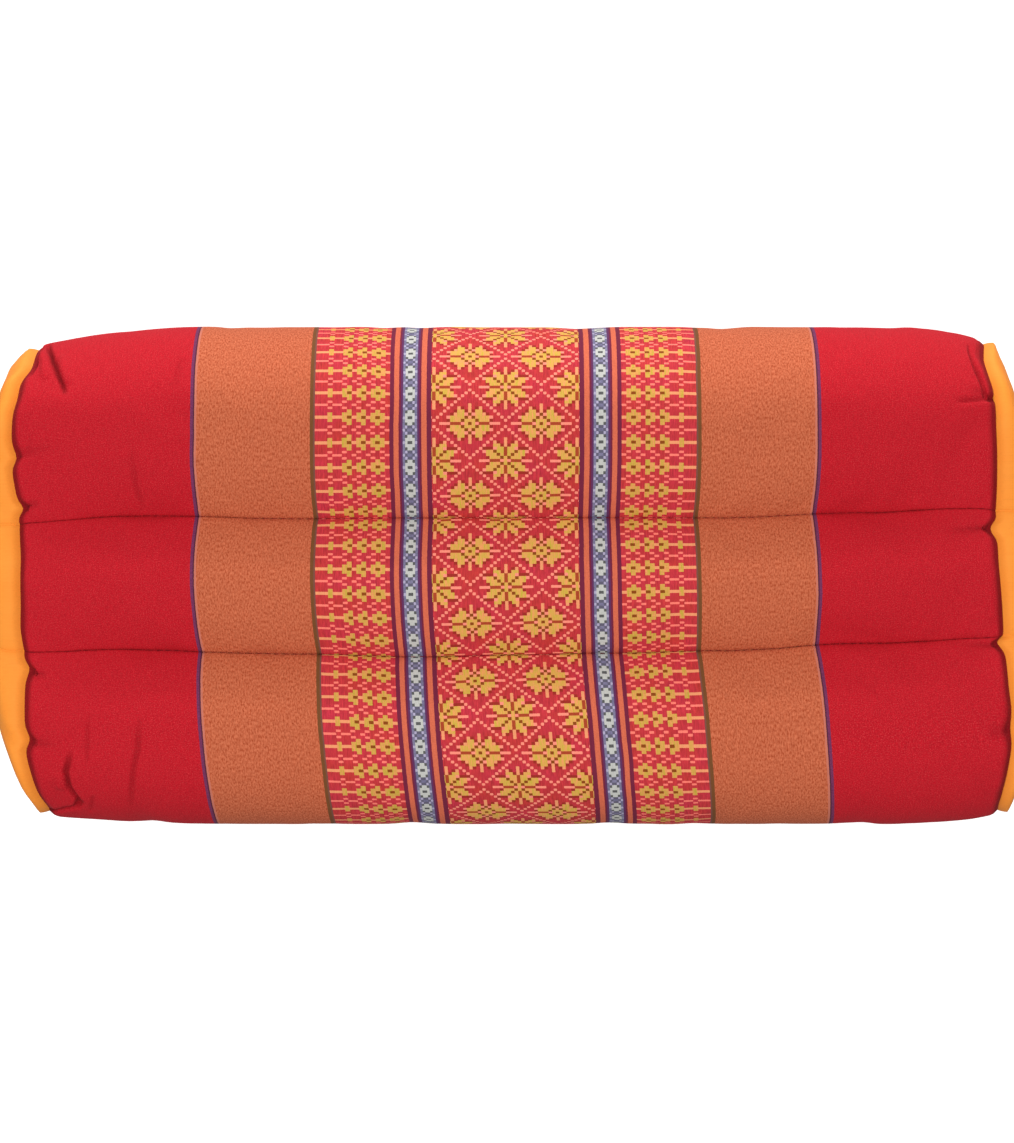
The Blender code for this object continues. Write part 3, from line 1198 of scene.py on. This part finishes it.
def chart_cell(chart, row, column):
    """Which kind of cell a chart has at a whole row and column."""
    cells = 2 ** len(chart[0])
    looked_up = from_list(row, [(*packed_row(line), 1.0) for line in chart])
    place_value = 2 ** column
    kind = 0
    for bit, packed in enumerate(looked_up.parts()):
        kind = ((packed * cells + 0.5) / place_value).whole() % 2 * 2 ** bit + kind
    return kind


print("a row of flowers as three numbers:", packed_row(FLOWER_CHART[0]))

# %% A charted band
# By kind of cell: half its height and width in cells, and whether it is a bar. The last number
# only fills the fourth place of a ramp's colour.
CELL_SHAPES = (
    (0.60, 0.60, 0, 1),
    (0.47, 0.46, 0, 1),
    (0.60, 0.62, 1, 1),
    (0.60, 0.56, 1, 1),
    (0.62, 0.60, 0, 1),
    (0.52, 0.52, 0, 1),
    (0.55, 0.60, 0, 1),
    (0.62, 0.46, 0, 1),
)


def motif(chart, rows, columns, row, column, thin, colours, yellow, ground):
    """The colour of a charted band.

    rows and columns count the weave's rows and columns, row and column are the cell's place
    in the chart, and thin is how much lower a bar is than other cells.
    """
    kind = chart_cell(chart, row, column)
    half_height, half_width, bar = from_list(kind, CELL_SHAPES).parts()
    half_height = half_height - bar * thin
    off_row = abs((rows + 0.5) % 1 - 0.5) / half_height
    off_column = abs((columns + 0.5) % 1 - 0.5) / half_width
    inside = (off_row ** 4 + off_column ** 4 < 1.0) * (kind > 0.5)
    yarn = (abs(kind - CELLS.index("Y")) < 0.5).mix(from_list(kind, colours), yellow)
    return inside.mix(ground, yarn)


print("kinds of cell that are bars:", [cell for cell, shape in zip(CELLS, CELL_SHAPES) if shape[2]])

# %% [markdown]
# ## The patterned cloth
#
# Seen along the cushion the cloth is a row of bands, the same on both sides of its middle:
# stars, a thin border with blue in it, flowers, a plain brown-orange band and plain red. So
# the material first works out how far a place is from the middle, and then lays one band
# over the other from there.

# %% Dyes
DYE = {
    "red": dye(180, 14, 32),
    "light red": dye(196, 20, 36),
    "red fleck": dye(222, 74, 76),
    "brown": dye(212, 115, 80),
    "brown shade": dye(168, 70, 38),
    "ground": dye(196, 58, 52),
    "ground pink": dye(202, 50, 74),
    "ground shade": dye(160, 48, 38),
    "purple": dye(98, 50, 92),
    "plum": dye(118, 38, 62),
    "violet": dye(116, 52, 90),
    "violet edge": dye(88, 40, 60),
    "pale edge": dye(198, 118, 104),
    "mauve": dye(124, 78, 66),
    "orange": dye(216, 107, 78),
    "olive": dye(120, 75, 42),
    "grey violet": dye(108, 104, 134),
    "lilac": dye(178, 170, 196),
    "white": dye(196, 196, 190),
    "slate": dye(92, 92, 90),
    "dusk": dye(98, 94, 112),
    "salmon": dye(254, 146, 124),
    "pink salmon": dye(255, 128, 112),
    "bar": dye(172, 70, 40),
    "gold": dye(208, 180, 66),
    "apricot": dye(238, 156, 96),
    "dot": dye(142, 72, 22),
    "peach": dye(242, 156, 108),
}


def dyes(*names):
    """The colours of the eight kinds of cell, by the names of their dyes."""
    return [DYE[name] for name in names]


MOTIF_DYES = dyes("ground", "salmon", "salmon", "bar", "gold", "dot", "ground shade", "peach")
FLOWER_DYES = dyes("ground", "salmon", "pink salmon", "peach", "gold", "dot", "ground shade", "peach")
BLUE_DYES = dyes("grey violet", "lilac", "white", "white", "white", "slate", "dusk", "white")
print("dyes:", len(DYE))

# %% Rows and columns of the weave
MIDDLE = -0.03                # cm from the middle of the cushion to the middle of the stars
REPEAT = 0.884                # cm from one row of flowers to the next
FIRST_FLOWER = 17.90          # cm round the cloth
WEFT_ROWS = 8                 # rows of the chart in a repeat
EDGE_WANDER = 0.012           # cm that the border of a band wanders

patterned, patterned_shader, along, around_cloth = cloth_material("patterned_cloth", 0.85)
edge_noise = streaks(along, around_cloth, 1.0, 7.0, 1.0)
from_middle = along - MIDDLE
off_middle = abs(from_middle) + (edge_noise - 0.5) * (2 * EDGE_WANDER)
repeats = (FIRST_FLOWER - around_cloth) / REPEAT
warp_streak = streaks(along, around_cloth, 20.0, 2.4, 2.0)
weft_streak = streaks(along, around_cloth, 5.0, 24.0, 3.0)
drift = streaks(along, around_cloth, 1.1, 0.9, 4.0)
grain = streaks(along, around_cloth, 14.0, 18.0, 5.0, detail=3.0)
print("rows of weft round the cushion:", round(WEFT_ROWS * float(around[-1]) / REPEAT))

# %% Stars
STAR_START = 2.25             # repeats from the first flower to the first star
STAR_COLUMN = 0.128           # cm from one column of the chart to the next
LAST_STAR_ROW = len(STAR_CHART) - 1
LAST_STAR_COLUMN = len(STAR_CHART[0]) - 1
ARM_THINNER = 0.15            # bars are this much lower in the rows through the middle of a star

motif_ground = spread(drift, 0.0, 0.75).mix(DYE["ground"], DYE["ground pink"])
motif_ground = lit(motif_ground, spread(warp_streak, 0.78, 1.18))
yellow = spread(warp_streak, -0.3, 1.3).mix(DYE["gold"], DYE["apricot"])

star_rows = (repeats - STAR_START) * WEFT_ROWS
star_columns = from_middle / STAR_COLUMN
star_row = (star_rows + 0.5).whole().fold(LAST_STAR_ROW)
star_column = abs((star_columns + 0.5).whole()).fold(LAST_STAR_COLUMN)
arm_row = abs(star_row - LAST_STAR_ROW / 2) > LAST_STAR_ROW / 2 - 0.5
stars = motif(
    STAR_CHART, star_rows, star_columns, star_row, star_column,
    ARM_THINNER * arm_row, MOTIF_DYES, yellow, motif_ground
)
star_length = 2 * LAST_STAR_COLUMN * STAR_COLUMN
star_round = 2 * LAST_STAR_ROW * REPEAT / WEFT_ROWS
print("the stars repeat every", star_length, "cm along and", round(star_round, 2), "cm round the cushion")

# %% Flowers and the blue band
FLOWER_EDGE = 4.16            # cm from the middle of the stars to the flowers
FLOWER_COLUMN = 0.17125
BLUE_MIDDLE = 3.42            # and to the middle of the blue band
BLUE_COLUMN = 0.0875
BAR_THINNER = 0.22            # bars are this much lower beside the middle row of a flower

flower_rows = repeats * WEFT_ROWS
flower_columns = (off_middle - FLOWER_EDGE) / FLOWER_COLUMN - 0.5
flower_row = (flower_rows + 0.5).whole().fold(len(FLOWER_CHART) - 1)
flower_column = (flower_columns + 0.5).whole()
flowers = motif(
    FLOWER_CHART, flower_rows, flower_columns, flower_row, flower_column,
    BAR_THINNER * (flower_row > 0.5), FLOWER_DYES,
    lit(yellow, spread(weft_streak, 0.84, 1.0)), motif_ground
)

blue_columns = abs((off_middle - BLUE_MIDDLE) / BLUE_COLUMN) - 0.5
blue_column = (blue_columns + 0.5).whole()
blue_ground = spread(drift, 0.0, 0.3).mix(DYE["grey violet"], DYE["lilac"])
blue_ground = lit(blue_ground, spread(grain, 0.75, 1.25))
blue = motif(
    BLUE_CHART, flower_rows, blue_columns, flower_row, blue_column,
    0.0, BLUE_DYES, DYE["white"], blue_ground
)
print("patterned cloth so far:", len(patterned.node_tree.nodes), "nodes")

# %% Plain bands
specks = streaks(along, around_cloth, 19.0, 9.0, 6.0, detail=3.0)
brown = spread(specks, -0.4, 1.2).mix(DYE["brown"], DYE["brown shade"])
brown = lit(brown, spread(weft_streak, 0.94, 1.06))
flecks = streaks(along, around_cloth, 26.0, 30.0, 9.0)
red = spread(grain, -0.2, 1.2).mix(DYE["red"], DYE["light red"])
red = lit(spread(flecks, -0.75, 0.75).mix(red, DYE["red fleck"]), spread(weft_streak, 0.92, 1.08))
violet = lit(DYE["violet"], spread(grain, 0.7, 1.3))
pale_edge = spread(flecks, 0.1, 1.3).mix(DYE["brown"], DYE["pale edge"])
orange_stripe = lit(DYE["orange"], spread(grain, 0.88, 1.12))
print("with the plain bands:", len(patterned.node_tree.nodes), "nodes")

# %% All bands side by side
# Where each band ends, in cm from the middle, and what comes after it
BANDS = (
    (2.65, DYE["plum"]),
    (2.82, orange_stripe),
    (3.01, DYE["plum"]),
    (3.08, DYE["purple"]),
    (3.155, blue),
    (3.68, DYE["purple"]),
    (3.76, DYE["plum"]),
    (3.83, orange_stripe),
    (4.01, DYE["plum"]),
    (FLOWER_EDGE, flowers),
    (6.84, DYE["mauve"]),
    (6.90, DYE["olive"]),
    (7.02, brown),
    (11.12, pale_edge),
    (11.195, DYE["violet edge"]),
    (11.245, violet),
    (11.345, red),
)
cloth_colour = stars
for border, next_band in BANDS:
    cloth_colour = (off_middle > border).mix(cloth_colour, next_band)
cloth_colour = lit(cloth_colour, spread(warp_streak, 0.92, 1.08))
print("bands to each side of the stars:", len(BANDS))

# %% [markdown]
# ## Painted shade where cloth meets cloth
#
# In a fold, along a sewn line and beside an end seam two faces of the cloth look at each
# other, and the light that gets there has bounced between them until little is left. A path
# of light with few bounces misses most of that. More bounces would cost time in every
# render, so shade is painted into the colour at these places instead: the cloth is darker there.

# %% Painted shade in the folds, the sewn lines and the end seams
# Painted shade: the colour is darkened in folds by the depth kept in the folded attribute, on the sewn
# lines, where it gets darker and lighter once a stitch, and in the end seams.
FOLD_SHADE = 0.22             # share of the light that each millimetre of a fold takes away
DARKEST_FOLD = 0.35
LINE_SHADE = 0.45
STITCH_SHADE = 0.15           # a sewn line gets darker and lighter by this once a stitch
LINE_REACH = 0.05             # cm to each side of a sewn line
SEAM_SHADE = 0.50
SEAM_FROM = 17.48             # cm from the middle along the cloth
SEAM_FADE = 0.18

stitch_wave = along.wave(STITCH_PITCH)
folded = along.node("ShaderNodeAttribute", {"attribute_name": "folded"}, {}, output=2)
shade = along.math("MAXIMUM", 1 - folded * FOLD_SHADE, DARKEST_FOLD)
for place in held_columns:
    on_line = abs(around_cloth - float(place)) < LINE_REACH
    shade = shade * (1 - on_line * (LINE_SHADE + STITCH_SHADE * stitch_wave))
in_seam = along.math("MAXIMUM", (abs(along) - SEAM_FROM) / SEAM_FADE, 0.0)
in_seam = along.math("MINIMUM", in_seam, 1.0)
# The painted shade of folds, sewn lines and end seams goes into the colour here.
cloth_colour = lit(cloth_colour, shade * (1 - SEAM_SHADE * in_seam))
cloth_colour.into(patterned_shader, "Base Color")
print("light left in an end seam:", 1 - SEAM_SHADE)

# %% [markdown]
# ## The relief of the weave
#
# All of the cloth has the fine grain of its weave, with the backs of its warp yarns side by
# side. Between two stitches of a sewn line the cloth puffs up a little. These are far finer
# than the net of points, so a bump gives them to the light.

# %% Bump of the patterned cloth
PUCKER_REACH = 0.28           # cm from a sewn line
PUCKER_HEIGHT = 0.9           # heights are shares of the weave's depth
GRAIN_HEIGHT = 0.9
STREAK_HEIGHT = 0.5
YARN_HEIGHT = 0.10
WARP_PITCH = 0.055            # cm from one warp yarn to the next
WEAVE_DEPTH = 0.00022
WEAVE_STRENGTH = 0.45

height = grain * GRAIN_HEIGHT + warp_streak * STREAK_HEIGHT + along.wave(WARP_PITCH) * YARN_HEIGHT
for place in held_columns:
    away = abs(around_cloth - float(place)) / PUCKER_REACH
    near = away.math("MAXIMUM", 1 - away, 0.0)
    height = height - near * near * stitch_wave * PUCKER_HEIGHT
relief(height, WEAVE_STRENGTH, WEAVE_DEPTH).into(patterned_shader, "Normal")
wrap.data.materials.append(patterned)
print("patterned cloth:", len(patterned.node_tree.nodes), "nodes")

# %% [markdown]
# ## The plain cloth and the thread
#
# The end panels are one orange all over, in a plain weave with a slight sheen. One flat colour
# would look like plastic, so two near oranges drift into each other and a fine grain lies on
# top. The thread is a dark red that sinks into the sewn lines.

# %% Orange cloth
PLAIN_DEPTH = 0.00015
PLAIN_STRENGTH = 0.3

orange, orange_shader, panel_y, panel_z = cloth_material("end_cloth", 0.62)
orange_grain = streaks(panel_y, panel_z, 16.0, 16.0, 7.0, detail=3.0)
orange_drift = streaks(panel_y, panel_z, 0.8, 0.8, 8.0)
orange_dyed = spread(orange_drift, 0.0, 1.0).mix(dye(255, 150, 54), dye(255, 156, 60))
orange_dyed = lit(orange_dyed, spread(orange_grain, 0.95, 1.05))
orange_dyed.into(orange_shader, "Base Color")
relief(orange_grain, PLAIN_STRENGTH, PLAIN_DEPTH).into(orange_shader, "Normal")
for panel in end_cloths:
    panel.data.materials.append(orange)
print("orange cloth:", len(orange.node_tree.nodes), "nodes")

# %% Dark thread
THREAD = {"Base Color": dye(112, 12, 22), "Roughness": 0.8, "Specular IOR Level": 0.1}
thread.data.materials.append(new_material("sewing_thread", THREAD)[0])
print("thread as light:", [round(part, 3) for part in THREAD["Base Color"]])

# %% [markdown]
# ## Floor and light
#
# The picture is a catalogue one: a pale floor lit so evenly that hardly a shadow is left, and
# a broad soft light over the camera, so the channels stay even in brightness. A second soft
# light stands low beyond the upper side. It brightens that side alone, because the first
# crown hides it from everything behind it. The floor glows a little, as a light table does,
# but it throws no light back up: a glowing floor would wipe the soft shade off the lower side.

# %% Floor
WHITE = (1, 1, 1, 1)
FLOOR_REACH = 3.0
PALE = {
    "Base Color": (0.86, 0.86, 0.86, 1),
    "Roughness": 0.9,
    "Specular IOR Level": 0.0,
    "Emission Color": WHITE,
    "Emission Strength": 0.60,
}

floor_mesh = bpy.data.meshes.new("floor")
work = bmesh.new()
bmesh.ops.create_grid(work, x_segments=1, y_segments=1, size=FLOOR_REACH)
into_mesh(work, floor_mesh)
floor = added("floor", floor_mesh)
floor.visible_diffuse = False
floor.visible_glossy = False
floor_mesh.materials.append(new_material("pale_floor", PALE)[0])
print("floor:", 2 * FLOOR_REACH, "m wide and long")

# %% Sky and lights
SKY = 0.40
# Each light: place, width and height in metres, power in watts
LIGHTS = {
    "overhead": ((-0.25, 0.05, 2.4), 1.7, 1.7, 39.0),
    "low side": ((0.0, 1.9, 0.10), 2.2, 0.2, 32.0),
}

studio = bpy.data.worlds.new("studio")
studio.use_nodes = True
background = studio.node_tree.nodes["Background"]
background.inputs["Color"].default_value = WHITE
background.inputs["Strength"].default_value = SKY
bpy.context.scene.world = studio
for name, (spot, width, height, power) in LIGHTS.items():
    lamp = bpy.data.lights.new(name, "AREA")
    lamp.shape = "RECTANGLE"
    lamp.energy = power
    lamp.size = width
    lamp.size_y = height
    light = added(name, lamp)
    light.location = spot
    aim = Vector((0, 0, body_high.z)) - light.location
    light.rotation_euler = aim.to_track_quat("-Z", "Y").to_euler()
    light.visible_camera = False
bpy.context.scene.view_settings.view_transform = "Standard"
print("light: sky", SKY, "and", {name: sizes[-1] for name, sizes in LIGHTS.items()}, "W")

# %% [markdown]
# ## Attaching the pieces
#
# Last, every piece is attached to the frame's body, and the solids of the frame that the
# pieces take the place of are hidden.

# %% Attach the pieces and hide the solids they replace
for piece in (wrap, thread, *end_cloths):
    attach(piece, "root")
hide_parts("cushion_body")
for panel, node in zip(end_cloths, ("end_panel_left", "end_panel_right")):
    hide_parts(node)
